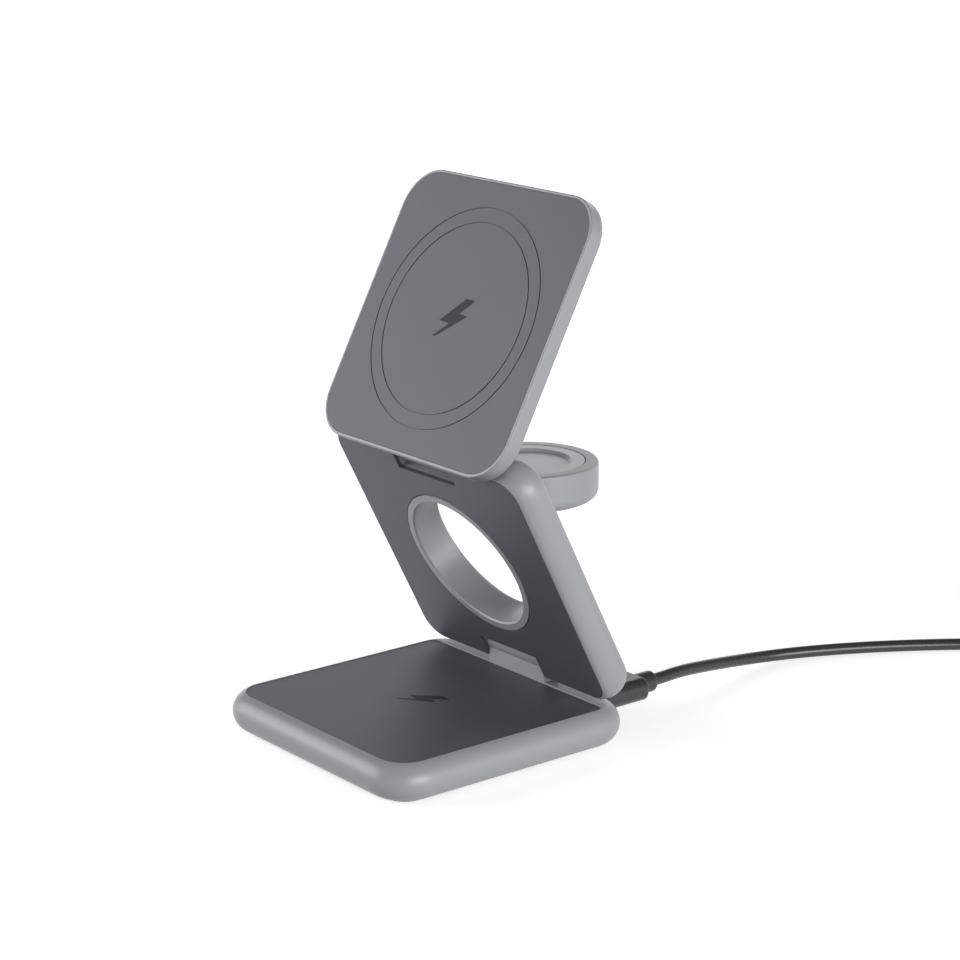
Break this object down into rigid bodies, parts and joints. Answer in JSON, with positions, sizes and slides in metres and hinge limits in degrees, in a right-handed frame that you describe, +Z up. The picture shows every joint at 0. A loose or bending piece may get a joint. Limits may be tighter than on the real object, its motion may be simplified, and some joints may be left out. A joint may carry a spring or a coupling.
{
  "type": "foldable wireless charger",
  "caption": "Folding charging stand: base pad, middle panel with a round hole, tilting magnetic phone panel, and a watch puck that turns out of the hole; cable plugged in at the back.",
  "frame": {"origin": "on the table under the middle of the base", "axes": "+Z up, front of the stand towards -Y, hinge axes along X"},
  "size_m": [0.1059, 0.2572, 0.132],
  "materials": {
    "shell": "satin moulded, light cool grey",
    "dark_plate": "fine matt soft-touch, blue grey",
    "watch_cap": "satin moulded, light grey",
    "foot_rubber": "matt silicone",
    "copper": "enamelled copper wire",
    "ferrite": "sintered ferrite",
    "circuit_board": "green solder mask",
    "steel": "nickel plated",
    "magnet": "nickel plated magnet",
    "bush_plastic": "black engineering plastic",
    "cable_jacket": "matt dark grey"
  },
  "bodies": {
    "base": {"base_shell": "shell", "base_top_plate": "dark_plate", "base_bottom_cover": "shell", "base_foot_pad": "foot_rubber", "cover_screws": "steel", "earbud_coil": "copper", "earbud_coil_shield": "ferrite", "base_circuit_board": "circuit_board", "usb_c_port": "steel", "usb_c_port_tongue": "bush_plastic", "lower_hinge_pin": "steel", "plug_metal_shell": "steel", "plug_grip": "cable_jacket", "plug_strain_relief": "cable_jacket", "cable_lead": "cable_jacket", "cable_coil": "cable_jacket", "cable_tail": "cable_jacket", "cable_tie": "cable_jacket", "far_plug_strain_relief": "cable_jacket", "far_plug_grip": "cable_jacket", "far_plug_metal_shell": "steel"},
    "middle": {"middle_shell": "shell", "middle_front_plate": "dark_plate", "middle_circuit_board": "circuit_board", "lower_hinge_bushes": "bush_plastic", "upper_hinge_bushes": "bush_plastic", "watch_hinge_pin": "steel"},
    "phone": {"phone_shell": "shell", "phone_face_plate": "dark_plate", "phone_magnets": "magnet", "magnet_yoke": "steel", "phone_coil": "copper", "phone_coil_shield": "ferrite", "upper_hinge_pin": "steel"},
    "watch": {"watch_housing": "shell", "watch_charging_cap": "watch_cap", "watch_circuit_board": "circuit_board", "watch_coil_shield": "ferrite", "watch_coil": "copper", "watch_magnet": "magnet"}
  },
  "joints": [
    {"name": "lower_hinge", "type": "hinge", "parent": "base", "child": "middle", "pos_m": [0, 0.03078, 0.01615], "axis": [1, 0, 0], "range_deg": [0, 62]},
    {"name": "upper_hinge", "type": "hinge", "parent": "middle", "child": "phone", "pos_m": [0, 0.00305, 0.06986], "axis": [1, 0, 0], "range_deg": [-124.8, 0]},
    {"name": "watch_hinge", "type": "hinge", "parent": "middle", "child": "watch", "pos_m": [0, 0.01009, 0.06366], "axis": [1, 0, 0], "range_deg": [-62.7, 0]}
  ],
  "couplings": [
    {"joint": "watch_hinge", "follows": "upper_hinge", "ratio": 0.50232}
  ]
}
